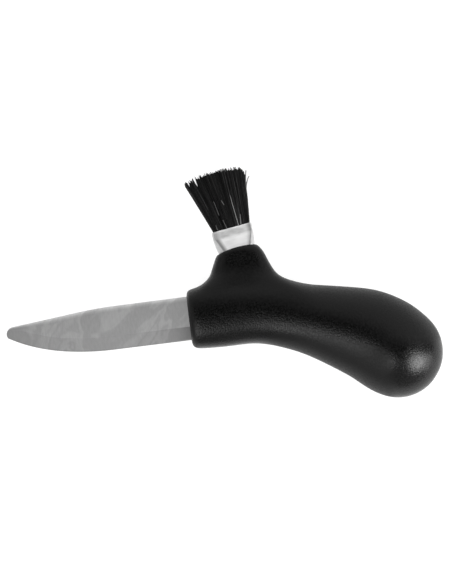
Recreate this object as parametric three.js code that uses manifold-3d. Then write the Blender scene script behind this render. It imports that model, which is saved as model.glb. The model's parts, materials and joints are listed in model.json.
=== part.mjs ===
// Mushroom knife: a fixed steel blade moulded into a bulb-ended plastic handle, with a cleaning brush
// set in a collar on the handle's back. All sizes are millimetres and degrees.
// The knife's own axes start where the blade leaves the handle: X runs from the tip to the butt, Y from
// the edge to the spine, Z out of the blade's side. The finished knife lies on its side, with Z up.

import * as THREE from "three";
import { mergeGeometries, mergeVertices } from "three/addons/utils/BufferGeometryUtils.js";
import Module from "manifold-3d";

const wasm = await Module();
wasm.setup();

// Fit between a piece and the pocket, socket or wall that holds it
const CLEARANCE = 0.3;

// Blade, measured from the handle's front
const BLADE_LENGTH = 72.4;
const BLADE_HEIGHT = 17.1;
const EDGE_DROP = 8.35;
const BLADE_THICKNESS = 2;
const EDGE_THICKNESS = 0.3;
const GRIND_HEIGHT = 5.4;
const GRIND_SHARE_AT_TIP = 0.7;
const SPINE_CHAMFER_HEIGHT = 0.9;
const SPINE_CHAMFER_DEPTH = 0.45;
const CHAMFER_SHARE_AT_TIP = 0.15;
const SPINE_FALL_START = 35.6;
const SPINE_FALL_ANGLE = 5.4;
const SPINE_FALL_BLEND = 8;
const BELLY_START = 33;
const BELLY_TURN = 54.8;
const TIP_RADIUS = 2.8;
const TIP_CORNER_ANGLE = 28;

// Tang, hidden in the handle: the blade's full height goes in as far as the shoulder
const SHOULDER_DEPTH = 5;
const SHOULDER_RAMP = 2;
const TANG_LENGTH = 46;
const TANG_HEIGHT = 10;
const TANG_DROP = 2;
const TANG_NOTCH_START = 13;
const TANG_NOTCH_PITCH = 14;
const TANG_NOTCH_COUNT = 2;
const TANG_NOTCH_LENGTH = 5;
const TANG_NOTCH_DEPTH = 1.5;
const TANG_NOTCH_RAMP = 1;

// Handle: five cross-sections, square to its curved middle line, from the front to the bulb
const FRONT = { x: 0, y: -0.3, height: 24.2, thickness: 19, power: 2.8 };
const THROAT = { x: 26.2, y: -0.4, height: 25.5, thickness: 19.6, power: 2.6 };
const WAIST = { x: 45.6, y: -5.7, height: 27.4, thickness: 22.5, power: 2.3 };
const SWELL = { x: 68.3, y: -14.9, height: 36, thickness: 29, power: 2.1 };
const BULB = { x: 79, y: -23, height: 36.8, thickness: 31, power: 2 };
const BUTT_LENGTH = 18.7;
const FRONT_EDGE_RADIUS = 2.3;

// Collar that holds the brush, measured from the middle of its rim and along the brush
const COLLAR_X = 22.2;
const COLLAR_Y = 25.2;
const BRUSH_LEAN = 8;
const COLLAR_RIM = { thickness: 13.2, power: 3 };
const COLLAR_FOOT = { thickness: 15.2, power: 2 };
const COLLAR_ROOT = { thickness: 18.4, power: 2, sunk: 7 };
const COLLAR_FRONT = { reach: 8.6, rim: 0.6, lean: 27, wall: 6, fillet: 9, foot: 95 };
const COLLAR_REAR = { reach: 9, rim: 2.4, lean: 15, wall: 8, fillet: 15, foot: 66 };

// Brush: a sheet-metal ferrule with round ends in the collar, pressed flat at its mouth
const FERRULE_WALL = 0.4;
const FERRULE_STANDS = 8.1;
const FERRULE_INSERT = 8.5;
const FERRULE_BASE = { width: 14.4, thickness: 8.6, power: 4 };
const FERRULE_MOUTH = { width: 15.6, thickness: 5.8, power: 9 };
const CRIMP_BAND = 2.6;
const RESIN_INSET = 1;
const CEMENT_THICKNESS = 1.2;

// Bristles, in tufts side by side across the ferrule's mouth
const TUFT_COUNT = 4;
const TUFT_BACKING = 2;
const TUFT_INSET = 0.6;
const BRISTLES_ACROSS = 8;
const BRISTLES_DEEP = 11;
const BRISTLE_STAGGER = 0.5;
const BRISTLE_LENGTH = 23.6;
const BRISTLE_LENGTH_SPREAD = 1.4;
const BRISTLE_RADIUS = 0.15;
const BRISTLE_TIP_RADIUS = 0.12;
const BRISTLE_SIDES = 3;
const BRISTLE_ROOT = 0.8;
const FAN_DEPTH = 34;
const FAN_SKEW = -2.4;

// Mesh fineness
const RING_POINTS = 32;
const BODY_RINGS = 22;
const CAP_RINGS = 7;
const ROUNDING_STEPS = 4;
const BLADE_RINGS = 32;
const FERRULE_RINGS = 4;

const STEEL = new THREE.MeshStandardMaterial({ color: 0x9c9c9c, metalness: 1, roughness: 0.35 });
const PLASTIC = new THREE.MeshStandardMaterial({ color: 0x171717, metalness: 0, roughness: 0.55 });
const TINPLATE = new THREE.MeshStandardMaterial({ color: 0xd6d6d6, metalness: 1, roughness: 0.25 });
const BRISTLE = new THREE.MeshStandardMaterial({ color: 0x121212, metalness: 0, roughness: 0.6 });
const RESIN = new THREE.MeshStandardMaterial({ color: 0x6e5a36, metalness: 0, roughness: 0.3 });
const CEMENT = new THREE.MeshStandardMaterial({ color: 0xcac4b8, metalness: 0, roughness: 0.7 });

const { degToRad, lerp, seededRandom, smoothstep } = THREE.MathUtils;

function sideways(distance) {
  return new THREE.Vector3(0, 0, distance);
}

// Points of a superellipse about a centre, from the end of `across` towards the end of `through`
function ring(centre, across, through, power, count = RING_POINTS) {
  const bend = (value) => Math.sign(value) * Math.abs(value) ** (2 / power);
  return Array.from({ length: count }, (_, i) => {
    const angle = (2 * Math.PI * i) / count;
    const point = centre.clone().addScaledVector(across, bend(Math.cos(angle)));
    return point.addScaledVector(through, bend(Math.sin(angle)));
  });
}

// Closed surface through rings of equal length, each running counter-clockwise about the way forward.
// Its ends are capped, unless the last ring joins the first again.
function loft(rings, joined = false) {
  const count = rings[0].length;
  const points = rings.flat();
  const faces = [];
  const spans = joined ? rings.length : rings.length - 1;
  for (let i = 0; i < spans; i++) {
    const here = i * count;
    const next = ((i + 1) % rings.length) * count;
    for (let j = 0; j < count; j++) {
      const k = (j + 1) % count;
      faces.push(here + j, here + k, next + j, next + j, here + k, next + k);
    }
  }
  const ends = joined ? [] : [0, rings.length - 1];
  ends.forEach((end) => {
    const middle = new THREE.Vector3();
    rings[end].forEach((point) => middle.addScaledVector(point, 1 / count));
    const hub = points.push(middle) - 1;
    for (let j = 0; j < count; j++) {
      const rim = [end * count + j, end * count + ((j + 1) % count)];
      faces.push(hub, ...(end === 0 ? rim.reverse() : rim));
    }
  });
  return new THREE.BufferGeometry().setFromPoints(points).setIndex(faces);
}

// A closed, indexed geometry as a solid that can be joined and cut, and back again
function solidOf(geometry) {
  const vertProperties = new Float32Array(geometry.getAttribute("position").array);
  const triVerts = new Uint32Array(geometry.index.array);
  return new wasm.Manifold(new wasm.Mesh({ numProp: 3, vertProperties, triVerts }));
}

function geometryOf(solid) {
  const { vertProperties, triVerts } = solid.getMesh();
  return new THREE.BufferGeometry()
    .setAttribute("position", new THREE.BufferAttribute(vertProperties, 3))
    .setIndex(new THREE.BufferAttribute(triVerts, 1));
}

function piece(name, geometry, material) {
  const mesh = new THREE.Mesh(geometry, material);
  mesh.name = name;
  return mesh;
}

// Blade

// One cross-section of the steel from its edge point to its spine point, grown all round by `grow`
function steelRing(edge, spine, ground, grow = 0) {
  const up = spine.clone().sub(edge).normalize();
  const low = edge.clone().addScaledVector(up, -grow);
  const height = edge.distanceTo(spine) + 2 * grow;
  const grind = Math.min(GRIND_HEIGHT, GRIND_SHARE_AT_TIP * height);
  const chamfer = Math.min(SPINE_CHAMFER_HEIGHT, CHAMFER_SHARE_AT_TIP * height);
  const share = ground ? grind / GRIND_HEIGHT : 1;
  const flatHalf = lerp(EDGE_THICKNESS, BLADE_THICKNESS, share) / 2;
  const edgeHalf = ground ? EDGE_THICKNESS / 2 : flatHalf;
  const spineHalf = ground ? flatHalf - SPINE_CHAMFER_DEPTH * share : flatHalf;
  const profile = [
    [height, spineHalf],
    [height - chamfer, flatHalf],
    [grind, flatHalf],
    [0, edgeHalf],
  ];
  const side = (sign) =>
    profile.map(([rise, half]) => low.clone().addScaledVector(up, rise).setZ(sign * (half + grow)));
  return [...side(1), ...side(-1).reverse()];
}

// Spine and edge lines from the handle's front to the corner where the round tip meets the edge
function bladeLines() {
  const top = BLADE_HEIGHT - EDGE_DROP;
  const fall = degToRad(SPINE_FALL_ANGLE);
  const corner = Math.PI + degToRad(TIP_CORNER_ANGLE);
  const spineHeight = (x) => top - Math.max(0, -x - SPINE_FALL_START) * Math.tan(fall);
  const tip = new THREE.Vector2(TIP_RADIUS - BLADE_LENGTH, 0);
  tip.y = spineHeight(tip.x) - TIP_RADIUS / Math.cos(fall);
  const bendEnd = -SPINE_FALL_START - SPINE_FALL_BLEND;
  const spine = new THREE.Path()
    .moveTo(0, top)
    .lineTo(SPINE_FALL_BLEND - SPINE_FALL_START, top)
    .quadraticCurveTo(-SPINE_FALL_START, top, bendEnd, spineHeight(bendEnd))
    .lineTo(tip.x - TIP_RADIUS * Math.sin(fall), tip.y + TIP_RADIUS * Math.cos(fall))
    .absarc(tip.x, tip.y, TIP_RADIUS, Math.PI / 2 + fall, corner, false);
  const edge = new THREE.Path()
    .moveTo(0, -EDGE_DROP)
    .lineTo(-BELLY_START, -EDGE_DROP)
    .quadraticCurveTo(
      -BELLY_TURN,
      -EDGE_DROP,
      tip.x + TIP_RADIUS * Math.cos(corner),
      tip.y + TIP_RADIUS * Math.sin(corner),
    );
  return { spine, edge };
}

// Sections of the hidden steel, from just outside the handle's front to the tang's end
function tangRings(grow = 0) {
  const top = BLADE_HEIGHT - EDGE_DROP;
  const low = -TANG_DROP - TANG_HEIGHT / 2;
  const high = TANG_HEIGHT / 2 - TANG_DROP;
  const station = (x, edge, spine, ground) =>
    steelRing(new THREE.Vector3(x, edge, 0), new THREE.Vector3(x, spine, 0), ground, grow);
  const plain = (x) => station(x, low, high, false);
  const notched = (x) => station(x, low + TANG_NOTCH_DEPTH, high - TANG_NOTCH_DEPTH, false);
  const rings = [
    station(-CLEARANCE, -EDGE_DROP, top, true),
    station(SHOULDER_DEPTH, -EDGE_DROP, top, true),
    plain(SHOULDER_DEPTH + SHOULDER_RAMP),
  ];
  for (let i = 0; i < TANG_NOTCH_COUNT; i++) {
    const start = TANG_NOTCH_START + i * TANG_NOTCH_PITCH;
    const stop = start + TANG_NOTCH_LENGTH;
    rings.push(plain(start), notched(start + TANG_NOTCH_RAMP), notched(stop - TANG_NOTCH_RAMP), plain(stop));
  }
  rings.push(plain(TANG_LENGTH + grow));
  return rings;
}

function makeBlade() {
  const { spine, edge } = bladeLines();
  const place = ({ x, y }) => new THREE.Vector3(x, y, 0);
  const rings = [];
  for (let i = BLADE_RINGS - 1; i > 0; i--) {
    const share = Math.sin(((Math.PI / 2) * i) / BLADE_RINGS);
    rings.push(steelRing(place(edge.getPoint(share)), place(spine.getPoint(share)), true));
  }
  return piece("blade", loft([...rings, ...tangRings()]), STEEL);
}

// Handle

// Body: its sections run smoothly into each other, from a rounded front edge to a rounded butt
function handleBody() {
  const stations = [FRONT, THROAT, WAIST, SWELL, BULB];
  const line = new THREE.SplineCurve(stations.map(({ x, y }) => new THREE.Vector2(x, y)));
  const sizes = new THREE.CatmullRomCurve3(
    stations.map(({ height, thickness, power }) => new THREE.Vector3(height / 2, thickness / 2, power)),
    false,
    "catmullrom",
  );
  const section = (share, ahead = 0, inset = 0, shrink = 1) => {
    const way = line.getTangent(share);
    const middle = line.getPoint(share).addScaledVector(way, ahead);
    const size = sizes.getPoint(share);
    const up = new THREE.Vector3(-way.y, way.x, 0).multiplyScalar((size.x - inset) * shrink);
    return ring(new THREE.Vector3(middle.x, middle.y, 0), up, sideways((size.y - inset) * shrink), size.z);
  };
  const rings = [];
  for (let i = 0; i < ROUNDING_STEPS; i++) {
    const turn = ((Math.PI / 2) * i) / ROUNDING_STEPS;
    const inset = FRONT_EDGE_RADIUS * (1 - Math.sin(turn));
    rings.push(section(0, FRONT_EDGE_RADIUS * (1 - Math.cos(turn)), inset));
  }
  const rounded = FRONT_EDGE_RADIUS / line.getLength();
  for (let i = 0; i <= BODY_RINGS; i++) {
    rings.push(section(lerp(rounded, 1, i / BODY_RINGS)));
  }
  for (let i = 1; i < CAP_RINGS; i++) {
    const turn = ((Math.PI / 2) * i) / CAP_RINGS;
    rings.push(section(1, BUTT_LENGTH * Math.sin(turn), 0, Math.cos(turn)));
  }
  return loft(rings);
}

// Line down one side of the collar: rounded rim, leaning wall, then a fillet into the body
function collarSide({ reach, rim, lean, wall, fillet, foot }) {
  const toward = (angle) => new THREE.Vector2(Math.cos(degToRad(angle)), Math.sin(degToRad(angle)));
  const rimCentre = new THREE.Vector2(reach - rim, -rim);
  const points = [];
  for (let i = 0; i <= ROUNDING_STEPS; i++) {
    points.push(toward(lerp(90, lean, i / ROUNDING_STEPS)).multiplyScalar(rim).add(rimCentre));
  }
  const wallEnd = points.at(-1).clone().addScaledVector(toward(lean - 90), wall);
  const filletCentre = wallEnd.addScaledVector(toward(lean), fillet);
  for (let i = 0; i <= 2 * ROUNDING_STEPS; i++) {
    const angle = lerp(lean, foot, i / (2 * ROUNDING_STEPS));
    points.push(toward(angle + 180).multiplyScalar(fillet).add(filletCentre));
  }
  return points;
}

// Collar, in the brush's axes: X across the brush, Y up out of the rim
function collarBody() {
  const front = collarSide(COLLAR_FRONT);
  const rear = collarSide(COLLAR_REAR);
  const foot = front.length - 1;
  const section = (i, { thickness, power, sunk = 0 }) => {
    const start = new THREE.Vector3(sunk - front[i].x, front[i].y - sunk, 0);
    const stop = new THREE.Vector3(rear[i].x - sunk, rear[i].y - sunk, 0);
    const across = stop.clone().sub(start).multiplyScalar(0.5);
    return ring(start.lerp(stop, 0.5), across, sideways(-thickness / 2), power);
  };
  const rings = [section(foot, COLLAR_ROOT)];
  for (let i = foot; i >= 0; i--) {
    const flare = Math.max(0, i / ROUNDING_STEPS - 1) / (foot / ROUNDING_STEPS - 1);
    const rounding = 1 - Math.sin((Math.PI / 2) * Math.min(1, i / ROUNDING_STEPS));
    const rimInset = 2 * COLLAR_FRONT.rim * rounding;
    const thickness = lerp(COLLAR_RIM.thickness, COLLAR_FOOT.thickness, flare ** 2) - rimInset;
    rings.push(section(i, { thickness, power: lerp(COLLAR_RIM.power, COLLAR_FOOT.power, flare) }));
  }
  return loft(rings);
}

function makeHandle(brushFrame) {
  const socketFloor = -FERRULE_INSERT - CEMENT_THICKNESS - 2 * CLEARANCE;
  const socket = loft([socketFloor, FERRULE_STANDS].map((height) => baseRing(height, CLEARANCE)));
  const solid = solidOf(handleBody())
    .add(solidOf(collarBody().applyMatrix4(brushFrame)))
    .subtract(solidOf(loft(tangRings(CLEARANCE))))
    .subtract(solidOf(socket.applyMatrix4(brushFrame)));
  return piece("handle", geometryOf(solid), PLASTIC);
}

// Brush, in its own axes: X across the brush, Y along it, from the collar's rim to the bristle tips

// Section of the ferrule, from its base shape at 0 to its mouth shape at 1, grown all round by `grow`
function ferruleSection(height, share, grow) {
  const width = lerp(FERRULE_BASE.width, FERRULE_MOUTH.width, share) / 2 + grow;
  const thickness = lerp(FERRULE_BASE.thickness, FERRULE_MOUTH.thickness, share) / 2 + grow;
  const power = lerp(FERRULE_BASE.power, FERRULE_MOUTH.power, share);
  return ring(new THREE.Vector3(0, height, 0), new THREE.Vector3(width, 0, 0), sideways(-thickness), power);
}

function baseRing(height, grow = 0) {
  return ferruleSection(height, 0, grow);
}

// Sections of the ferrule between two heights, closer together where it is pressed flat
function ferruleRings(bottom, top, grow = 0) {
  const bandStart = FERRULE_STANDS - CRIMP_BAND;
  const heights = [bottom];
  for (let i = 0; i <= FERRULE_RINGS; i++) {
    const height = (bandStart * i) / FERRULE_RINGS;
    if (height < top) {
      heights.push(height);
    }
  }
  heights.push(top);
  return heights.map((height) => ferruleSection(height, smoothstep(height, 0, bandStart), grow));
}

function makeFerrule() {
  const outer = ferruleRings(-FERRULE_INSERT, FERRULE_STANDS);
  const inner = ferruleRings(-FERRULE_INSERT, FERRULE_STANDS, -FERRULE_WALL);
  return piece("ferrule", loft([...outer, ...inner.reverse()], true), TINPLATE);
}

// Resin cast round the bristle roots, from inside the ferrule's lower end up to the tufts' backing
function makeResin(top) {
  const rings = ferruleRings(RESIN_INSET - FERRULE_INSERT, top, -FERRULE_WALL - CLEARANCE);
  return piece("setting_resin", loft(rings), RESIN);
}

// Cement under the ferrule's end, on the floor of the socket
function makeCement() {
  const top = -FERRULE_INSERT - CLEARANCE;
  return piece("socket_cement", loft([baseRing(top - CEMENT_THICKNESS), baseRing(top)]), CEMENT);
}

// One bristle on a straight line of the fan, with its root sunk in the tuft's backing
function bristle(root, length) {
  const way = new THREE.Vector3(root.x + FAN_SKEW, FAN_DEPTH, root.z).normalize();
  const across = new THREE.Vector3(1, 0, 0).projectOnPlane(way).normalize();
  const through = way.clone().cross(across);
  const section = (distance, radius) => {
    const centre = root.clone().addScaledVector(way, distance);
    const reach = [across, through].map((axis) => axis.clone().multiplyScalar(radius));
    return ring(centre, ...reach, 2, BRISTLE_SIDES);
  };
  return loft([section(-BRISTLE_ROOT, BRISTLE_RADIUS), section(length, BRISTLE_TIP_RADIUS)]);
}

// A tuft: bristles in staggered rows, fused to the slice of resin that holds them
function makeTuft(index, floor) {
  const inside = FERRULE_MOUTH.width / 2 - FERRULE_WALL - CLEARANCE;
  const depth = FERRULE_MOUTH.thickness - 2 * (FERRULE_WALL + CLEARANCE);
  const pitch = (2 * inside + CLEARANCE) / TUFT_COUNT;
  const width = pitch - CLEARANCE;
  const left = index * pitch - inside;
  const stepAcross = width / (BRISTLES_ACROSS + BRISTLE_STAGGER);
  const stepDeep = depth / BRISTLES_DEEP;
  const backing = new THREE.BoxGeometry(width, TUFT_BACKING, depth);
  backing.translate(left + width / 2, floor + TUFT_BACKING / 2, 0);
  backing.deleteAttribute("normal");
  backing.deleteAttribute("uv");
  seededRandom(index + 1);
  const bristles = [];
  for (let row = 0; row < BRISTLES_DEEP; row++) {
    for (let column = 0; column < BRISTLES_ACROSS; column++) {
      const x = left + stepAcross * (column + BRISTLE_STAGGER * (1 + (row % 2)));
      const z = stepDeep * (row + 0.5) - depth / 2;
      const root = new THREE.Vector3(x, floor + TUFT_BACKING, z);
      bristles.push(bristle(root, BRISTLE_LENGTH - BRISTLE_LENGTH_SPREAD * seededRandom()));
    }
  }
  const tuft = solidOf(mergeVertices(backing)).add(solidOf(mergeGeometries(bristles)));
  return piece(`bristle_tuft_${index + 1}`, geometryOf(tuft), BRISTLE);
}

// The brush stands in the collar and leans towards the tip
const brush = new THREE.Group();
brush.position.set(COLLAR_X, COLLAR_Y, 0);
brush.rotation.z = degToRad(BRUSH_LEAN);
brush.updateMatrix();
const tuftFloor = FERRULE_STANDS - TUFT_INSET - TUFT_BACKING;
brush.add(makeFerrule(), makeResin(tuftFloor - CLEARANCE), makeCement());
for (let i = 0; i < TUFT_COUNT; i++) {
  brush.add(makeTuft(i, tuftFloor));
}

const knife = new THREE.Group();
knife.add(makeBlade(), makeHandle(brush.matrix), brush);

// The knife lies on the bulb and on the lower edge of the handle's front
const bulbHalf = BULB.thickness / 2;
const frontHalf = FRONT.thickness / 2;
const span = BULB.x - FRONT_EDGE_RADIUS;
const lie = Math.asin(bulbHalf / Math.hypot(span, frontHalf)) - Math.atan2(frontHalf, span);
knife.rotation.y = -lie;
const bounds = new THREE.Box3().setFromObject(knife, true);
const middle = bounds.getCenter(new THREE.Vector3());
knife.position.set(-middle.x, -middle.y, -bounds.min.z);

const part = new THREE.Group();
part.add(knife);

export default part;
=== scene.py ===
"""Mushroom knife on a plain pale floor: blade, moulded handle and a brush set in its collar."""

import json
import math
import random

import bmesh
import bpy
from mathutils import Matrix, Vector


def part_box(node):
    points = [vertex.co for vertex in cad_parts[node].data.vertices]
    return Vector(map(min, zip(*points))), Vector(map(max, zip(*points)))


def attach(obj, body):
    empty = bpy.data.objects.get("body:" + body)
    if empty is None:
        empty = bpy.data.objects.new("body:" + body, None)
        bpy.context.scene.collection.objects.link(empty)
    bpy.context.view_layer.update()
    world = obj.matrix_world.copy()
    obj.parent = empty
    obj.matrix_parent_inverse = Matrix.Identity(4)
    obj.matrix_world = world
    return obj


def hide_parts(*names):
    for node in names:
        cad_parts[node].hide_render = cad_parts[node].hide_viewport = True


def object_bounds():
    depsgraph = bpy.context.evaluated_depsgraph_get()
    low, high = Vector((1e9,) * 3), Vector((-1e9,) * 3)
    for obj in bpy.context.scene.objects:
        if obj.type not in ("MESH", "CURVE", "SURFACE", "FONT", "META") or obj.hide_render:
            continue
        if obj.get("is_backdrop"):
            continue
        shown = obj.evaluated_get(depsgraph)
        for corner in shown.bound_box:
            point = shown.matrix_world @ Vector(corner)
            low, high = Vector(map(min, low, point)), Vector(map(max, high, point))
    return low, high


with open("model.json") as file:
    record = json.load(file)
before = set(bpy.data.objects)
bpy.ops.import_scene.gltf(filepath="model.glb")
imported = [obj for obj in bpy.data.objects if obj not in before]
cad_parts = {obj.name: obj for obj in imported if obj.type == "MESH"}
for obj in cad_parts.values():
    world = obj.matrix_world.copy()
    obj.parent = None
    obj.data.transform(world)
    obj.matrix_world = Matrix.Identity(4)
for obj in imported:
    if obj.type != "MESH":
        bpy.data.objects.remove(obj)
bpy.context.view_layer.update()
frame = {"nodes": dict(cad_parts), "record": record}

# BLADE
# A strip of stainless steel, stamped to shape and ground on both sides to one wide bevel, with the
# spine's corners rounded off and lightened by a painted highlight. The steel goes on into the handle,
# which is moulded on it.

MM = 0.001
mounts = {mount["name"]: mount for mount in frame["record"]["mounts"]}
blade_side = Vector(mounts["blade_flat"]["pos_m"])
blade_reverse = Vector(mounts["blade_reverse_flat"]["pos_m"])
handle_front = Vector(mounts["handle_front_face"]["pos_m"])

# The knife's own axes, in millimetres from where the blade leaves the handle:
# X runs from tip to butt, Y from edge to spine, Z out of the side that the photograph shows
knife_x = -Vector(mounts["handle_front_face"]["axis"]).normalized()
knife_z = Vector(mounts["blade_flat"]["axis"]).normalized()
knife_y = knife_z.cross(knife_x)
blade_low, blade_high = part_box("blade")
EDGE_DROP = 8.35
knife_origin = (blade_side + blade_reverse) / 2
knife_origin += knife_x * (handle_front - knife_origin).dot(knife_x)
knife_origin.y = blade_low.y + EDGE_DROP * MM
knife_turn = Matrix((knife_x, knife_y, knife_z)).transposed().to_4x4()
KNIFE = Matrix.Translation(knife_origin) @ knife_turn @ Matrix.Scale(MM, 4)

BLADE_LENGTH = 72.4
BLADE_TOP = (blade_high.y - blade_low.y) / MM - EDGE_DROP
BLADE_HALF_THICKNESS = (blade_side - blade_reverse).dot(knife_z) / MM / 2
BLADE_IN_HANDLE = 4.0
EDGE_HALF_THICKNESS = 0.06
EDGE_HEEL = 0.12
HONED_HEIGHT = 0.45
GRIND_HEIGHT = 5.4
CHAMFER_HEIGHT = 1.9
CHAMFER_DEPTH = 0.6
# Towards the tip these heights are at most a share of the blade's own height
HONED_SHARE = 0.1
GRIND_SHARE = 0.7
CHAMFER_SHARE = 0.15
HONED_FULLNESS = 1.4
CHAMFER_STEPS = [
    # drop below the spine, inset from the flat, share of the painted highlight
    (1.0, 0.0, 0.0),
    (0.6, 0.13, 0.5),
    (0.3, 0.4, 0.9),
    (0.0, 1.0, 1.0),
]
SPINE_FALL_START = 35.6
SPINE_FALL = math.radians(5.4)
SPINE_BLEND = 8.0
BELLY_START = 30.0
BELLY_TURN = 56.0
TIP_RADIUS = 2.8
TIP_CORNER = math.radians(28)
TIP_END = 0.01
BLADE_RINGS = 72
FINISHES = 4
FLAT, BEVEL, SPINE, EDGE = range(FINISHES)
WIPE_SLANT = math.radians(-34)


def spine_line(x):
    """Height of the straight spine and its falling front, rounded where they meet."""
    beyond = -x - SPINE_FALL_START
    if beyond < -SPINE_BLEND:
        return BLADE_TOP
    if beyond < SPINE_BLEND:
        return BLADE_TOP - math.tan(SPINE_FALL) * (beyond + SPINE_BLEND) ** 2 / (4 * SPINE_BLEND)
    return BLADE_TOP - math.tan(SPINE_FALL) * beyond


tip_x = TIP_RADIUS - BLADE_LENGTH
tip_y = spine_line(tip_x) - TIP_RADIUS / math.cos(SPINE_FALL)
corner_x = tip_x - TIP_RADIUS * math.cos(TIP_CORNER)
corner_y = tip_y - TIP_RADIUS * math.sin(TIP_CORNER)


def tip_half_chord(x):
    """Half the height of the round tip."""
    return math.sqrt(max(0.0, TIP_RADIUS**2 - (x - tip_x) ** 2))


def spine_at(x):
    """Height of the spine, or of the top of the round tip."""
    if x > tip_x - TIP_RADIUS * math.sin(SPINE_FALL):
        return spine_line(x)
    return tip_y + tip_half_chord(x)


def edge_at(x):
    """Height of the straight edge, of the belly that curves up to the tip's corner, or of the tip."""
    if x > -BELLY_START:
        return -EDGE_DROP - EDGE_HEEL * (1 + x / BELLY_START)
    if x < corner_x:
        return tip_y - tip_half_chord(x)
    bend = -BELLY_START + 2 * BELLY_TURN + corner_x
    lead = 2 * (BELLY_START - BELLY_TURN)
    share = (-lead - math.sqrt(lead**2 - 4 * bend * (-BELLY_START - x))) / (2 * bend)
    return -EDGE_DROP + (corner_y + EDGE_DROP) * share**2


def ring_edges(ring):
    """The edges between the corners of one ring."""
    members = set(ring)
    return list({e for v in ring for e in v.link_edges if e.other_vert(v) in members})


def join_rings(bm, rings):
    """Bridges each ring to the next and closes both ends."""
    for here, there in zip(rings, rings[1:]):
        bmesh.ops.bridge_loops(bm, edges=ring_edges(here) + ring_edges(there))
    for end in (rings[0], rings[-1]):
        bmesh.ops.edgeloop_fill(bm, edges=ring_edges(end))
    bmesh.ops.recalc_face_normals(bm, faces=bm.faces)


def finished(bm, name, place=KNIFE):
    """Puts a mesh that was made in millimetres in its place on the knife, as a smooth-shaded piece."""
    bmesh.ops.transform(bm, matrix=place, verts=bm.verts)
    mesh = bpy.data.meshes.new(name)
    bm.to_mesh(mesh)
    bm.free()
    mesh.shade_smooth()
    piece = bpy.data.objects.new(name, mesh)
    bpy.context.scene.collection.objects.link(piece)
    return piece


bm = bmesh.new()
reach = bm.verts.layers.float.new("reach")
# Share of the painted highlight on the rounded shoulder under the spine
shoulder_highlight = bm.verts.layers.float.new("shoulder_highlight")
blade_rings = []
for i in range(BLADE_RINGS + 1):
    share = math.sin(math.pi / 2 * i / BLADE_RINGS)
    x = BLADE_IN_HANDLE - (BLADE_IN_HANDLE + BLADE_LENGTH - TIP_END) * share
    low, high = edge_at(x), spine_at(x)
    height = high - low
    grind = min(GRIND_HEIGHT, GRIND_SHARE * height)
    chamfer = min(CHAMFER_HEIGHT, CHAMFER_SHARE * height)
    honed = min(HONED_HEIGHT, HONED_SHARE * height)
    half = EDGE_HALF_THICKNESS + (BLADE_HALF_THICKNESS - EDGE_HALF_THICKNESS) * grind / GRIND_HEIGHT
    rounding = CHAMFER_DEPTH * grind / GRIND_HEIGHT
    honed_half = EDGE_HALF_THICKNESS + (half - EDGE_HALF_THICKNESS) * HONED_FULLNESS * honed / grind
    right = []
    for drop, inset, highlight_share in reversed(CHAMFER_STEPS):
        right.append((high - chamfer * drop, half - rounding * inset, highlight_share))
    right += [(low + grind, half, 0), (low + honed, honed_half, 0), (low, EDGE_HALF_THICKNESS, 0)]
    left = [(y, -z, highlight_share) for y, z, highlight_share in reversed(right)]
    ring = bmesh.ops.create_circle(bm, segments=len(right + left), radius=1.0)["verts"]
    for v, (y, z, highlight_share) in zip(ring, right + left):
        v.co = (x, y, z)
        v[reach] = -x
        v[shoulder_highlight] = highlight_share
    blade_rings.append(ring)
join_rings(bm, blade_rings)
finish = bm.faces.layers.float.new("finish")
ring_of = {v: i for i, ring in enumerate(blade_rings) for v in ring}
line_of = {v: i for ring in blade_rings for i, v in enumerate(ring)}
strips = [FLAT, FLAT, FLAT, FLAT, BEVEL, EDGE, EDGE, EDGE, BEVEL, FLAT, FLAT, FLAT, FLAT, SPINE]
rounded_lines = {1, 2, 3, len(strips) - 4, len(strips) - 3, len(strips) - 2}
for edge in bm.edges:
    along = ring_of[edge.verts[0]] != ring_of[edge.verts[1]]
    edge.smooth = not along or line_of[edge.verts[0]] in rounded_lines
for face in bm.faces:
    lines = sorted({line_of[v] for v in face.verts})
    face[finish] = FLAT
    if len(lines) == 2:
        face[finish] = strips[lines[0] if lines[1] - lines[0] == 1 else lines[1]]
blade = finished(bm, "ground_blade")


def new_material(name):
    """A material with its nodes, its links and its shader."""
    material = bpy.data.materials.new(name)
    material.use_nodes = True
    nodes = material.node_tree.nodes
    return material, nodes, material.node_tree.links, nodes["Principled BSDF"]


def add_node(nodes, kind, **values):
    """A shader node whose settings and inputs are given by name."""
    node = nodes.new("ShaderNode" + kind)
    for name, value in values.items():
        if hasattr(node, name):
            setattr(node, name, value)
        else:
            node.inputs[name.replace("_", " ")].default_value = value
    return node


def set_ramp(node, stops, steps=False):
    """Gives a colour ramp its stops, each a place and a grey."""
    ramp = node.color_ramp
    ramp.interpolation = "CONSTANT" if steps else "LINEAR"
    while len(ramp.elements) < len(stops):
        ramp.elements.new(1.0)
    for element, (spot, grey) in zip(ramp.elements, stops):
        element.position = spot
        element.color = (grey, grey, grey, 1)


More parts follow.
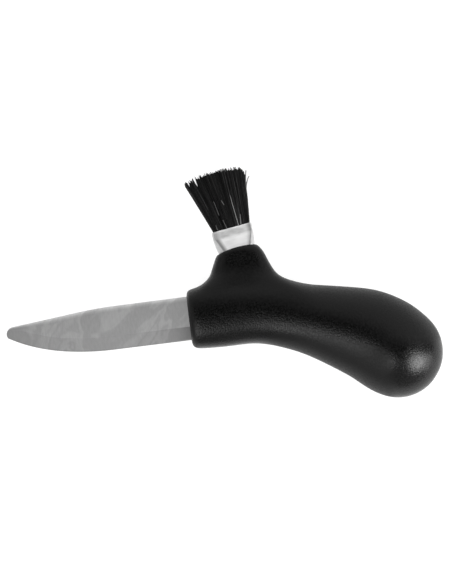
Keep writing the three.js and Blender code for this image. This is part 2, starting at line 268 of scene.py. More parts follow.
# Wiped and clouded satin on the flats with fine grinding marks across the blade, a slightly darker grind
# with painted shade darkening it towards the handle, a painted highlight lightening the rounded shoulder
# and the spine's top, and a dark honed line
steel, nodes, links, shader = new_material("satin_steel")
shader.inputs["Metallic"].default_value = 1.0
place = add_node(nodes, "TexCoord")
wiped = add_node(nodes, "Mapping", vector_type="TEXTURE", Scale=(1.0, 2.0, 1.0))
wiped.inputs["Rotation"].default_value = (0, 0, WIPE_SLANT)
cloud = add_node(nodes, "TexNoise", Scale=95, Detail=2, Roughness=0.5, Distortion=1.0)
cloud_tone = add_node(nodes, "ValToRGB")
set_ramp(cloud_tone, [(0.3, 0.93), (0.44, 0.96), (0.5, 1.11), (0.57, 1.09), (0.62, 1.0), (0.7, 1.15)])
drawn_out = add_node(nodes, "Mapping", Scale=(1.0, 0.3, 0.3))
scratches = add_node(nodes, "TexNoise", Scale=1500, Detail=2)
scratch_tone = add_node(nodes, "MapRange", From_Min=0.3, From_Max=0.7, To_Min=0.96, To_Max=1.04)
zone = add_node(nodes, "Attribute", attribute_name="finish")
zone_share = add_node(nodes, "Math", operation="MULTIPLY_ADD")
zone_share.inputs[1].default_value = 1 / FINISHES
zone_share.inputs[2].default_value = 0.5 / FINISHES
# Tones of flats, grind, spine and honed line; the spine's light tone is the same painted highlight as
# its shoulder
zone_tone = add_node(nodes, "ValToRGB")
set_ramp(zone_tone, [(0.0, 0.405), (0.25, 0.36), (0.5, 0.7), (0.75, 0.32)], steps=True)
# Painted shade: the grind darkens towards the handle
away = add_node(nodes, "Attribute", attribute_name="reach")
near = add_node(nodes, "MapRange", From_Max=30.0)
handle_shade_tone = add_node(nodes, "ValToRGB")
set_ramp(handle_shade_tone, [(0.0, 0.55), (0.07, 0.66), (0.2, 0.82), (0.47, 0.93), (0.9, 1.0)])
# Painted highlight: the rounded shoulder gets lighter up to the spine
highlight_share = add_node(nodes, "Attribute", attribute_name="shoulder_highlight")
highlight_tone = add_node(nodes, "ValToRGB")
set_ramp(highlight_tone, [(0.0, 1.0), (0.5, 1.25), (0.9, 1.65), (1.0, 1.75)])
highlighted = add_node(nodes, "Mix", data_type="RGBA", blend_type="MULTIPLY", Factor=1.0)
ground = add_node(nodes, "Math", operation="COMPARE")
ground.inputs[1].default_value = BEVEL
ground.inputs[2].default_value = 0.25
dulled_and_shaded = add_node(nodes, "Mix", data_type="RGBA", blend_type="MULTIPLY")
clouded = add_node(nodes, "Mix", data_type="RGBA", blend_type="MULTIPLY", Factor=1.0)
scratched = add_node(nodes, "Mix", data_type="RGBA", blend_type="MULTIPLY", Factor=1.0)
rough = add_node(nodes, "MapRange", From_Min=0.3, From_Max=0.7, To_Min=0.7, To_Max=0.8)
bump = add_node(nodes, "Bump", Strength=0.15, Distance=0.00002)
links.new(place.outputs["Object"], wiped.inputs["Vector"])
links.new(wiped.outputs["Vector"], cloud.inputs["Vector"])
links.new(cloud.outputs["Fac"], cloud_tone.inputs["Fac"])
links.new(place.outputs["Object"], drawn_out.inputs["Vector"])
links.new(drawn_out.outputs["Vector"], scratches.inputs["Vector"])
links.new(scratches.outputs["Fac"], scratch_tone.inputs["Value"])
links.new(zone.outputs["Fac"], zone_share.inputs[0])
links.new(zone_share.outputs["Value"], zone_tone.inputs["Fac"])
links.new(zone.outputs["Fac"], ground.inputs[0])
links.new(away.outputs["Fac"], near.inputs["Value"])
links.new(near.outputs["Result"], handle_shade_tone.inputs["Fac"])
links.new(ground.outputs["Value"], dulled_and_shaded.inputs["Factor"])
links.new(zone_tone.outputs["Color"], dulled_and_shaded.inputs["A"])
links.new(handle_shade_tone.outputs["Color"], dulled_and_shaded.inputs["B"])
links.new(highlight_share.outputs["Fac"], highlight_tone.inputs["Fac"])
links.new(dulled_and_shaded.outputs["Result"], highlighted.inputs["A"])
links.new(highlight_tone.outputs["Color"], highlighted.inputs["B"])
links.new(highlighted.outputs["Result"], clouded.inputs["A"])
links.new(cloud_tone.outputs["Color"], clouded.inputs["B"])
links.new(clouded.outputs["Result"], scratched.inputs["A"])
links.new(scratch_tone.outputs["Result"], scratched.inputs["B"])
links.new(scratched.outputs["Result"], shader.inputs["Base Color"])
links.new(cloud.outputs["Fac"], rough.inputs["Value"])
links.new(rough.outputs["Result"], shader.inputs["Roughness"])
links.new(scratches.outputs["Fac"], bump.inputs["Height"])
links.new(bump.outputs["Normal"], shader.inputs["Normal"])
blade.data.materials.append(steel)
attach(blade, "root")
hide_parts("blade")

# HANDLE
# One moulding of black plastic with a fine grain, cast round the tang: a flat front, a grip that bends
# down, a bulb for a butt, and on its back a collar with a socket for the brush.

SECTIONS = [
    # x, y, height, thickness, squareness
    (0.0, -0.2, 24.0, 19.0, 2.8),
    (26.2, -0.4, 25.5, 19.6, 2.6),
    (45.6, -5.7, 27.4, 22.5, 2.3),
    (68.3, -14.9, 36.0, 27.6, 2.1),
    (79.05, -22.95, 36.6, 31.2, 2.0),
]
BUTT_LENGTH = 18.45
BUTT_SAG = Vector((-0.15, -0.25, 0.0))
FRONT_REACH = 0.25
FINGER_SWELLS = (0.2, 0.5)
BUTT_TURNS = (25, 48, 68, 82)
RING_POINTS = 16
BODY_SHARES = [0.065, 0.141, 0.2225, 0.334, 0.46, 0.525, 0.5825, 0.665, 0.75, 0.85, 1.0]
PATCH_ROWS = 4
PATCH_COLUMNS = 4
FRONT_ROUNDING = 4.0
SLOT_HALF_HEIGHT = 8.9
SLOT_HALF_WIDTH = 1.5
SLOT_RINGS = [
    # x, height and width against the slot's mouth, squareness
    (2.0, 0.97, 0.8, 6),
    (0.3, 0.98, 0.85, 6),
    (-FRONT_REACH, 1.0, 1.0, 6),
    (-FRONT_REACH, 1.05, 1.6, 5),
]
BRUSH_LEAN = math.radians(8)
COLLAR_RIM = Vector((22.15, 25.2, 0.0))
COLLAR_RINGS = [
    # front reach and rise, rear reach and rise, thickness, crown
    (-14.2, -8.4, 14.3, -16.0, 14.8, 0.0),
    (-12.3, -5.9, 11.55, -11.85, 13.6, 0.2),
    (-10.65, -3.4, 10.3, -7.4, 13.0, 0.5),
    (-9.4, -1.5, 9.4, -3.6, 12.9, 1.0),
    (-8.6, -0.6, 7.9, -0.65, 12.2, 1.2),
    (-7.7, -0.75, 7.4, -0.55, 10.4, 1.15),
    (-7.45, -1.3, 7.3, -1.1, 9.4, 1.0),
    (-7.4, -4.0, 7.4, -4.0, 9.2, 0.0),
    (-7.4, -9.8, 7.4, -9.8, 9.2, 0.0),
]
SMOOTHED_COLLAR_RINGS = 4
COLLAR_SQUARENESS = 3.4
BLEND_FULLNESS = 1.08
CAGE_SWELL = 0.6
# How far a surface turns to the back or to the tip before it is matt, and over how much it gets so
BACK_TURN, BACK_BLEND = 0.08, 0.2
TIP_TURN, TIP_BLEND = 0.15, 0.15
MATT_ROUGHNESS = 0.18
brush_place = Matrix.Translation(COLLAR_RIM) @ Matrix.Rotation(BRUSH_LEAN, 4, "Z")
BRUSH = KNIFE @ brush_place


def bent(value, squareness):
    """A side of the unit circle pushed out towards a square's."""
    return math.copysign(abs(value) ** (2 / squareness), value)


def shaped_ring(bm, centre, across, through, squareness, points=RING_POINTS):
    """A rounded outline about a centre, through the ends of `across` and of `through`."""
    ring = bmesh.ops.create_circle(bm, segments=points, radius=1.0)["verts"]
    for v in ring:
        v.co = centre + across * bent(v.co.x, squareness) + through * bent(v.co.y, squareness)
    return ring


def section_at(share):
    """Smooth value of the handle's sections, from 0 at the front to 1 at the bulb."""
    last = len(SECTIONS) - 1
    spot = share * last
    i = min(int(spot), last - 1)
    t = spot - i
    before, here, there, beyond = (SECTIONS[max(0, min(k, last))] for k in range(i - 1, i + 3))
    values = []
    for p0, p1, p2, p3 in zip(before, here, there, beyond):
        v0, v1 = (p2 - p0) / 2, (p3 - p1) / 2
        cube = 2 * p1 - 2 * p2 + v0 + v1
        square = 3 * p2 - 3 * p1 - 2 * v0 - v1
        values.append(cube * t**3 + square * t**2 + v0 * t + p1)
    return values


def handle_ring(bm, share, ahead=0.0, inset=0.0, shrink=1.0):
    """A ring of the handle's cage, square to its middle line."""
    x, y, height, thickness, squareness = section_at(share)
    step = 1e-3
    x0, y0 = section_at(max(0.0, share - step))[:2]
    x1, y1 = section_at(min(1.0, share + step))[:2]
    way = Vector((x1 - x0, y1 - y0, 0)).normalized()
    up = Vector((-way.y, way.x, 0))
    across = up * (height / 2 - inset) * shrink
    through = Vector((0, 0, 1)) * (thickness / 2 - inset) * shrink
    return shaped_ring(bm, Vector((x, y, 0)) + way * ahead, across, through, squareness)


bm = bmesh.new()
slot_up = Vector((0, SLOT_HALF_HEIGHT, 0))
slot_side = Vector((0, 0, SLOT_HALF_WIDTH))
front_rings = []
for x, tall, wide, squareness in SLOT_RINGS:
    front_rings.append(shaped_ring(bm, Vector((x, 0, 0)), slot_up * tall, slot_side * wide, squareness))
front_rings.append(handle_ring(bm, 0, -FRONT_REACH, FRONT_ROUNDING))
front_rings.append(handle_ring(bm, 0, -FRONT_REACH))
body_rings = [handle_ring(bm, share) for share in BODY_SHARES]
for ring, swell in zip(body_rings, FINGER_SWELLS):
    lowest = min(v.co.y for v in ring)
    for v in ring:
        v.co.y -= swell * max(0.0, v.co.y / lowest) ** 2
butt_rings = []
for turn in BUTT_TURNS:
    angle = math.radians(turn)
    butt_rings.append(handle_ring(bm, 1, BUTT_LENGTH * math.sin(angle), 0, math.cos(angle)))
    bmesh.ops.translate(bm, vec=BUTT_SAG * math.sin(angle), verts=butt_rings[-1])
join_rings(bm, front_rings + body_rings + butt_rings)

# The collar grows out of an open patch on the back of the grip
patch = set()
for ring in body_rings[: PATCH_ROWS + 1]:
    patch.update(sorted(ring, key=lambda v: -v.co.y)[: PATCH_COLUMNS + 1])
patch_faces = [f for f in bm.faces if all(v in patch for v in f.verts)]
bmesh.ops.delete(bm, geom=patch_faces, context="FACES")
patch_edges = [e for e in bm.edges if e.is_boundary]
for v in {v for e in patch_edges for v in e.verts}:
    v.co.z *= BLEND_FULLNESS
collar_rings = []
for front_w, front_a, rear_w, rear_a, thickness, crown in COLLAR_RINGS:
    front = Vector((front_w, front_a, 0))
    rear = Vector((rear_w, rear_a, 0))
    middle = (front + rear) / 2
    through = Vector((0, 0, thickness / 2))
    ring = shaped_ring(bm, middle, (rear - front) / 2, through, COLLAR_SQUARENESS)
    for v in ring:
        v.co.y += crown * (1 - ((v.co.x - middle.x) / (rear.x - middle.x)) ** 2)
    bmesh.ops.transform(bm, matrix=brush_place, verts=ring)
    collar_rings.append(ring)
bmesh.ops.bridge_loops(bm, edges=patch_edges + ring_edges(collar_rings[0]))
for here, there in zip(collar_rings, collar_rings[1:]):
    bmesh.ops.bridge_loops(bm, edges=ring_edges(here) + ring_edges(there))
bmesh.ops.edgeloop_fill(bm, edges=ring_edges(collar_rings[-1]))
bmesh.ops.recalc_face_normals(bm, faces=bm.faces)

# Smoothing pulls a cage in, so the cage is swollen first by as much
swollen = body_rings + butt_rings[:-1] + collar_rings[:SMOOTHED_COLLAR_RINGS]
swollen = [v for ring in swollen for v in ring if v.is_valid and v.link_faces]
every_axis = {"use_axis_x": True, "use_axis_y": True, "use_axis_z": True}
bmesh.ops.smooth_vert(bm, verts=swollen, factor=-CAGE_SWELL, **every_axis)
handle = finished(bm, "moulded_handle")


def smoothed(piece, levels):
    """Turns a cage into the smooth surface that it holds."""
    smooth = piece.modifiers.new("smooth", "SUBSURF")
    smooth.levels = smooth.render_levels = levels
    surface = piece.evaluated_get(bpy.context.evaluated_depsgraph_get())
    cage = piece.data
    piece.data = bpy.data.meshes.new_from_object(surface)
    piece.modifiers.clear()
    bpy.data.meshes.remove(cage)
    piece.data.name = piece.name


smoothed(handle, levels=3)
matt = handle.data.attributes.new("matt", "FLOAT", "POINT")
unrubbed = []
for v in handle.data.vertices:
    on_back = (v.normal.dot(knife_y) - BACK_TURN) / BACK_BLEND
    to_tip = (-v.normal.dot(knife_x) - TIP_TURN) / TIP_BLEND
    unrubbed.append(max(0.0, min(1.0, max(on_back, to_tip))))
matt.data.foreach_set("value", unrubbed)

# Finely grained all over, matt as moulded on the back and towards the tip, rubbed smoother elsewhere
plastic, nodes, links, shader = new_material("grained_black_plastic")
shader.inputs["Specular IOR Level"].default_value = 0.33
place = add_node(nodes, "TexCoord")
grain = add_node(nodes, "TexNoise", Scale=1600, Detail=1)
speckle = add_node(nodes, "MapRange", From_Min=0.35, From_Max=0.65, To_Min=0.24, To_Max=0.36)
back = add_node(nodes, "Attribute", attribute_name="matt")
dulled_and_shaded = add_node(nodes, "Math", operation="MULTIPLY_ADD")
dulled_and_shaded.inputs[1].default_value = MATT_ROUGHNESS
mottle_and_shade = add_node(nodes, "TexNoise", Scale=60, Detail=3)
shade = add_node(nodes, "ValToRGB")
set_ramp(shade, [(0.35, 0.0006), (0.65, 0.0016)])
bump = add_node(nodes, "Bump", Strength=0.6, Distance=0.00012)
links.new(place.outputs["Object"], grain.inputs["Vector"])
links.new(place.outputs["Object"], mottle_and_shade.inputs["Vector"])
links.new(mottle_and_shade.outputs["Fac"], shade.inputs["Fac"])
links.new(shade.outputs["Color"], shader.inputs["Base Color"])
links.new(grain.outputs["Fac"], speckle.inputs["Value"])
links.new(back.outputs["Fac"], dulled_and_shaded.inputs[0])
links.new(speckle.outputs["Result"], dulled_and_shaded.inputs[2])
links.new(dulled_and_shaded.outputs["Value"], shader.inputs["Roughness"])
links.new(grain.outputs["Fac"], bump.inputs["Height"])
links.new(bump.outputs["Normal"], shader.inputs["Normal"])
handle.data.materials.append(plastic)
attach(handle, "root")
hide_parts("handle")

# FERRULE
# A short tube of bright tinned sheet, round-ended where it goes into the collar, pressed flat towards
# its mouth and crimped there onto the bristles. The sheet's edge is turned over in a thin bead.

FERRULE_MOUTH = 8.4
FERRULE_INSERT = 8.5
END_POINTS = 6
FLAT_POINTS = 4
CREASE_WIDTH = 0.35
FERRULE_RINGS = [
    # height, reach to the tip side and to the butt side, half thickness,
    # half width of the flat, how far it is pressed in; up the outside, then down the inside
    (-FERRULE_INSERT, 7.1, 7.1, 4.3, 4.4, 0.0),
    (-0.8, 7.6, 6.95, 4.3, 4.8, 0.1),
    (0.3, 7.95, 7.05, 4.22, 5.3, 0.3),
    (1.4, 8.12, 7.2, 3.8, 5.65, 0.35),
    (2.7, 8.32, 7.4, 3.32, 6.2, 0.3),
    (4.2, 8.48, 7.6, 2.8, 6.8, 0.25),
    (4.9, 8.5, 7.68, 2.62, 7.1, 0.2),
    (5.4, 8.5, 7.75, 2.56, 7.25, 0.15),
    (7.6, 8.35, 7.85, 2.56, 7.25, 0.15),
    (8.05, 8.2, 7.82, 2.58, 7.25, 0.1),
    (8.15, 8.1, 7.8, 2.62, 7.25, 0.0),
    (8.32, 8.05, 7.75, 2.6, 7.2, 0.0),
    (FERRULE_MOUTH, 7.95, 7.65, 2.52, 7.1, 0.0),
    (8.25, 7.7, 7.4, 2.42, 6.75, 0.0),
    (7.6, 7.75, 7.35, 2.2, 6.6, 0.0),
    (5.2, 7.9, 7.2, 2.15, 6.4, 0.0),
    (2.7, 7.8, 6.9, 2.7, 5.7, 0.0),
    (0.3, 7.4, 6.6, 3.55, 4.9, 0.0),
    (-FERRULE_INSERT + 0.1, 6.8, 6.8, 3.9, 4.3, 0.0),
]
OUTSIDE_RINGS = 12
BORDER_START = 4.5
BAND_START = 5.0
BAND_END = 8.2
FLAT_SHIFT = 0.17
LOBE_START = -0.1
BAND_CORNER = 0.3
# Greying of the rim, band, band corners and border row, painted shade on the rounded ends and, below,
# painted shade in the creases
RIM_GREYING = 0.3
BAND_GREYING = 1.0
BAND_CORNER_GREYING = 0.7
TIP_LOBE_SHADE = 0.5
BUTT_LOBE_SHADE = 0.85
BORDER_GREYING = 0.45
CREASE_SPREAD = 0.5
MARKS_SHIFT = (0.0, 0.0137, 0.0)
TIP_CREASE_SHADE = 1.0
BUTT_CREASE_SHADE = 0.4
BAND_CREASE_SHADE = 0.6


def ferrule_ring(bm, height, tip_reach, butt_reach, half_thickness, flat, dent):
    """Section with two flats, each pressed in a little, and two rounded ends."""
    sides = []
    for reach, end in ((butt_reach, flat - FLAT_SHIFT), (tip_reach, flat + FLAT_SHIFT)):
        side = []
        for k in range(END_POINTS + 1):
            turn = math.pi / 2 * k / END_POINTS
            side.append((end + (reach - end) * math.cos(turn), half_thickness * math.sin(turn)))
        for k in range(FLAT_POINTS):
            side.append(((end - CREASE_WIDTH) * (1 - k / FLAT_POINTS), half_thickness - dent))
        sides.append(side)
    butt_side, tip_side = sides
    outline = butt_side + [(-w, z) for w, z in reversed(tip_side)]
    outline += [(-w, -z) for w, z in tip_side[1:]]
    outline += [(w, -z) for w, z in reversed(butt_side[1:])]
    ring = bmesh.ops.create_circle(bm, segments=len(outline), radius=1.0)["verts"]
    for v, (w, z) in zip(ring, outline):
        v.co = (w, height, z)
    return ring


bm = bmesh.new()
crease = bm.verts.layers.float.new("crease")
dulled_and_shaded = bm.verts.layers.float.new("dulled_and_shaded")
ferrule_rings = [ferrule_ring(bm, *row) for row in FERRULE_RINGS]
# Per outside point: a greying share on rim, band and border row, painted shade on the rounded ends, and
# painted shade along each crease, deepest on the tip side
for ring, row in zip(ferrule_rings[:OUTSIDE_RINGS], FERRULE_RINGS):
    height, flat = row[0], row[4]
    for v in ring:
        to_tip = v.co.x < 0
        beside = abs(v.co.x + FLAT_SHIFT) - flat
        crease_shade = TIP_CREASE_SHADE if to_tip else BUTT_CREASE_SHADE
        if height > BAND_END:
            v[dulled_and_shaded] = RIM_GREYING
        elif height > BAND_START:
            v[dulled_and_shaded] = BAND_CORNER_GREYING if beside > BAND_CORNER else BAND_GREYING
            crease_shade = BAND_CREASE_SHADE
        elif beside > LOBE_START:
            v[dulled_and_shaded] = TIP_LOBE_SHADE if to_tip else BUTT_LOBE_SHADE
        elif height > BORDER_START:
            v[dulled_and_shaded] = BORDER_GREYING
        v[crease] = crease_shade * max(0.0, 1 - abs(beside + CREASE_WIDTH / 2) / CREASE_SPREAD)
for here, there in zip(ferrule_rings, ferrule_rings[1:] + ferrule_rings[:1]):
    bmesh.ops.bridge_loops(bm, edges=ring_edges(here) + ring_edges(there))
bmesh.ops.recalc_face_normals(bm, faces=bm.faces)
ferrule = finished(bm, "pressed_ferrule", BRUSH)
smoothed(ferrule, levels=2)

# Bright tin with faint marks, greyer on the rim, the crimped band and a border row, darkened on the
# rounded ends by painted shade (more on the butt side), and darker in the creases by painted shade
tinplate, nodes, links, shader = new_material("bright_tinplate")
shader.inputs["Metallic"].default_value = 1.0
place = add_node(nodes, "TexCoord")
turned = add_node(nodes, "Mapping", Rotation=(0, 0, -BRUSH_LEAN), Scale=(0.35, 1.0, 1.0))
turned.inputs["Location"].default_value = MARKS_SHIFT
marks = add_node(nodes, "TexNoise", Scale=700, Detail=3)
bloom = add_node(nodes, "ValToRGB")
set_ramp(bloom, [(0.3, 0.94), (0.5, 0.975), (0.7, 1.0)])
scuffed = add_node(nodes, "MapRange", From_Min=0.3, From_Max=0.7, To_Min=0.66, To_Max=0.78)
pressed = add_node(nodes, "Attribute", attribute_name="crease")
mottle_and_shade = add_node(nodes, "Attribute", attribute_name="dulled_and_shaded")
greyed_and_shaded = add_node(nodes, "Mix", data_type="RGBA", blend_type="MULTIPLY")
greyer_tone = add_node(nodes, "ValToRGB")
set_ramp(greyer_tone, [(0.35, 0.54), (0.5, 0.62), (0.65, 0.69)])
# Painted shade: a dark grey mixed in along the creases
crease_shading = add_node(nodes, "Mix", data_type="RGBA", blend_type="MIX")
crease_shading.inputs["B"].default_value = (0.1, 0.1, 0.1, 1)
dimples = add_node(nodes, "Bump", Strength=0.3, Distance=0.00005)
links.new(place.outputs["Object"], turned.inputs["Vector"])
links.new(turned.outputs["Vector"], marks.inputs["Vector"])
links.new(marks.outputs["Fac"], bloom.inputs["Fac"])
links.new(marks.outputs["Fac"], scuffed.inputs["Value"])
links.new(marks.outputs["Fac"], dimples.inputs["Height"])
links.new(pressed.outputs["Fac"], crease_shading.inputs["Factor"])
links.new(mottle_and_shade.outputs["Fac"], greyed_and_shaded.inputs["Factor"])
links.new(bloom.outputs["Color"], greyed_and_shaded.inputs["A"])
links.new(marks.outputs["Fac"], greyer_tone.inputs["Fac"])
links.new(greyer_tone.outputs["Color"], greyed_and_shaded.inputs["B"])
links.new(greyed_and_shaded.outputs["Result"], crease_shading.inputs["A"])
links.new(crease_shading.outputs["Result"], shader.inputs["Base Color"])
links.new(scuffed.outputs["Result"], shader.inputs["Roughness"])
links.new(dimples.outputs["Normal"], shader.inputs["Normal"])
ferrule.data.materials.append(tinplate)
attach(ferrule, "root")
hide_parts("ferrule")

# BRISTLES
# One bundle of fine black bristles, fanned out of the ferrule's mouth, their ends trimmed to a shallow
# arc and a few of them stray or pale.

CLUMPS_ACROSS = 34
CLUMPS_DEEP = 4
STRANDS_IN_CLUMP = 11
LEADING_STRANDS = 4
# Leading strands keep close together and stand out of their clump, each a little less than the last
LEAD = 1.6
LEAD_POWER = 1.7
LEAD_FADE = 0.14
LEADING_SPREAD, LOOSE_SPREAD = 0.2, 1.2
LEADING_STRAY, LOOSE_STRAY = 0.004, 0.02
# Uneven places, lean, growth, ends and bends of columns, clumps and strands
CLUMP_JITTER = 0.4
CLUMP_LEAN = 0.018
CLUMP_HOLD = 0.25
COLUMN_GROWTH = 0.1
CLUMP_GROWTH = 0.08
RAGGED_RISE = 0.3
RAGGED_DEPTH = 0.25
RAGGED_BOW = 0.2
FRONT_BOW, REAR_BOW = 0.1, 0.35
CLUMP_TONE = 0.25
TONE_POWER = 1.5
BRISTLE_RADIUS = 0.13
BRISTLE_POINTS = 7
BRISTLE_TAPER = 0.2
ROOT_HALF_WIDTH = 6.9
ROOT_SHIFT = -0.1
ROOT_HALF_DEPTH = 2.05
ROOT_HEIGHT = 6.5
TIP_HALF_DEPTH = 3.4
TIP_HALF_WIDTH = 11.95
TIP_SHIFT = -1.6
TIP_HEIGHT = 30.5
TIP_LIMIT = 32.2
FRONT_TIP_FALL = 1.55
REAR_TIP_FALL = 1.4
REAR_CORNER = 0.9
REAR_CORNER_FALL = 2.8
PARTINGS = [(-0.88, 0.032), (-0.65, 0.045)]
STRAYS = [
    # across and up, at the foot, at the bend and at the tip
    ((8.7, 17.0), (9.65, 24.6), (11.25, 28.6)),
    ((8.75, 19.0), (9.75, 24.0), (11.8, 26.1)),
]
STRAY_DEPTHS = (0.5, 0.7, 0.8)
STRAY_TONE = 0.3
STRAY_GIRTH = 1.9
PALE_HAIRS = [
    # across and up, at the foot and at the tip, then tone and girth
    ((2.7, 8.6), (2.5, 21.0), 1.6, 1.0),
    ((3.6, 8.6), (4.35, 12.4), 2.0, 1.7),
    ((-2.1, 8.6), (-2.7, 12.1), 1.2, 1.0),
    ((-5.8, 8.7), (-5.95, 10.8), 1.1, 1.0),
    ((-3.7, 14.2), (-4.3, 20.0), 1.0, 1.0),
    ((-0.7, 17.7), (-1.3, 19.6), 1.2, 1.1),
]
PALE_HAIR_LIFT = 0.35
chance = random.Random(7)

strands = bpy.data.curves.new("strands", "CURVE")
strands.dimensions = "3D"
strands.bevel_depth = BRISTLE_RADIUS
strands.bevel_resolution = 0
strands.use_fill_caps = True
tones = []


def add_strand(root, control, tip, tone, girth=1.0, splay=0.0):
    """A bristle that bends once from its root to its cut end, which may be splayed to one side."""
    strand = strands.splines.new("POLY")
    strand.points.add(BRISTLE_POINTS - 1)
    for k, spot in enumerate(strand.points):
        t = k / (BRISTLE_POINTS - 1)
        spot.co = (*(root * (1 - t) ** 2 + control * 2 * t * (1 - t) + tip * t**2), 1)
        spot.radius = girth * (1.0 - BRISTLE_TAPER * t)
    strand.points[-1].co.x += splay
    tones.append(tone)


def parted(across):
    """How far a cut end is pushed out of the gaps where the bundle has split."""
    for gap, half in PARTINGS:
        if abs(across - gap) < half:
            return gap + math.copysign(half, across - gap) - across
    return 0.0


for column in range(CLUMPS_ACROSS):
    column_growth = chance.gauss(0, COLUMN_GROWTH)
    for layer in range(CLUMPS_DEEP):
        aside = chance.uniform(-CLUMP_JITTER, CLUMP_JITTER)
        clump_across = (column + 0.5 + aside) / CLUMPS_ACROSS * 2 - 1
        aside = chance.uniform(-CLUMP_JITTER, CLUMP_JITTER)
        clump_depth = (layer + 0.5 + aside) / CLUMPS_DEEP * 2 - 1
        clump_lean = chance.gauss(0, CLUMP_LEAN)
        clump_growth = column_growth + chance.gauss(0, CLUMP_GROWTH)
        clump_lead = LEAD * chance.random() ** LEAD_POWER
        clump_tone = chance.random()
        for number in range(STRANDS_IN_CLUMP):
            leads = number < LEADING_STRANDS
            spread = LEADING_SPREAD if leads else LOOSE_SPREAD
            across = clump_across + chance.uniform(-spread, spread) / CLUMPS_ACROSS
            across = max(-1.0, min(1.0, across))
            depth = clump_depth + chance.uniform(-spread, spread) / CLUMPS_DEEP
            depth = max(-1.0, min(1.0, depth))
            root = Vector((ROOT_SHIFT + across * ROOT_HALF_WIDTH, ROOT_HEIGHT, depth * ROOT_HALF_DEPTH))
            stray = chance.gauss(0, LEADING_STRAY if leads else LOOSE_STRAY)
            reach = across * (1 - CLUMP_HOLD) + clump_across * CLUMP_HOLD + clump_lean + stray
            reach = max(-1.0, min(1.0, reach))
            fall = FRONT_TIP_FALL if across < 0 else REAR_TIP_FALL
            corner = max(0.0, (across - REAR_CORNER) / (1 - REAR_CORNER))
            rise = TIP_HEIGHT - fall * across**2 - REAR_CORNER_FALL * corner**2 + clump_growth
            rise += clump_lead * (1 - LEAD_FADE * number) if leads else chance.gauss(0, RAGGED_RISE)
            limit = TIP_LIMIT - math.sin(BRUSH_LEAN) * reach * TIP_HALF_WIDTH
            tip = Vector((TIP_SHIFT + TIP_HALF_WIDTH * reach, min(limit, rise), 0))
            tip.z = depth * TIP_HALF_DEPTH + chance.gauss(0, RAGGED_DEPTH)
            control = (root + tip) / 2
            bow = FRONT_BOW if across < 0 else REAR_BOW
            control.x += bow * across**2 + chance.gauss(0, RAGGED_BOW)
            tone = (CLUMP_TONE * clump_tone + (1 - CLUMP_TONE) * chance.random()) ** TONE_POWER
            add_strand(root, control, tip, tone, splay=TIP_HALF_WIDTH * parted(reach))
for stray in STRAYS:
    root, control, tip = (Vector((*spot, depth)) for spot, depth in zip(stray, STRAY_DEPTHS))
    add_strand(root, control, tip, STRAY_TONE, STRAY_GIRTH)
for foot, end, tone, girth in PALE_HAIRS:
    root = Vector((*foot, ROOT_HALF_DEPTH + PALE_HAIR_LIFT))
    tip = Vector((*end, TIP_HALF_DEPTH))
    add_strand(root, (root + tip) / 2, tip, tone, girth)

drawn = bpy.data.objects.new("strands", strands)
bpy.context.scene.collection.objects.link(drawn)
bpy.context.view_layer.update()
mesh = bpy.data.meshes.new_from_object(drawn.evaluated_get(bpy.context.evaluated_depsgraph_get()))
bpy.data.objects.remove(drawn)
mesh.transform(BRUSH)
mesh.name = "bristles"
per_strand = len(mesh.vertices) // len(tones)
tone_layer = mesh.attributes.new("strand_tone", "FLOAT", "POINT")
tone_layer.data.foreach_set("value", [tones[i // per_strand] for i in range(len(mesh.vertices))])
bristles = bpy.data.objects.new("bristles", mesh)
bpy.context.scene.collection.objects.link(bristles)

# Each bristle is black or dark grey by its own tone, and the pale hairs are lighter
black, nodes, links, shader = new_material("black_bristle")
shader.inputs["Roughness"].default_value = 0.45
shader.inputs["Specular IOR Level"].default_value = 0.25
strand_tone = add_node(nodes, "Attribute", attribute_name="strand_tone")
halve = add_node(nodes, "Math", operation="MULTIPLY")
halve.inputs[1].default_value = 0.5
shade = add_node(nodes, "ValToRGB")
set_ramp(shade, [(0.1, 0.001), (0.3, 0.007), (0.4, 0.035), (0.5, 0.09), (1.0, 0.28)])
links.new(strand_tone.outputs["Fac"], halve.inputs[0])
links.new(halve.outputs["Value"], shade.inputs["Fac"])
links.new(shade.outputs["Color"], shader.inputs["Base Color"])
bristles.data.materials.append(black)
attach(bristles, "root")
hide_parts("bristle_tuft_1", "bristle_tuft_2", "bristle_tuft_3", "bristle_tuft_4")

# SETTING RESIN
# Clear brown resin that the bristle roots are cast in, poured into the ferrule from below. It shows only
# as a dark film between the roots.

amber, nodes, links, shader = new_material("cast_amber_resin")
shader.inputs["Roughness"].default_value = 0.25
shader.inputs["Subsurface Weight"].default_value = 0.2
shader.inputs["Subsurface Radius"].default_value = (0.002, 0.001, 0.0005)
place = add_node(nodes, "TexCoord")
swirl = add_node(nodes, "TexNoise", Scale=350, Detail=4, Distortion=1.5)
body = add_node(nodes, "ValToRGB")
body.color_ramp.elements[0].color = (0.09, 0.05, 0.02, 1)
body.color_ramp.elements[1].color = (0.22, 0.14, 0.06, 1)
ripple = add_node(nodes, "Bump", Strength=0.2, Distance=0.0002)
links.new(place.outputs["Object"], swirl.inputs["Vector"])
links.new(swirl.outputs["Fac"], body.inputs["Fac"])
links.new(body.outputs["Color"], shader.inputs["Base Color"])
links.new(swirl.outputs["Fac"], ripple.inputs["Height"])
links.new(ripple.outputs["Normal"], shader.inputs["Normal"])
frame["nodes"]["setting_resin"].material_slots[0].material = amber

# SOCKET CEMENT
# A bed of pale filled adhesive on the floor of the collar's socket, under the ferrule's end.

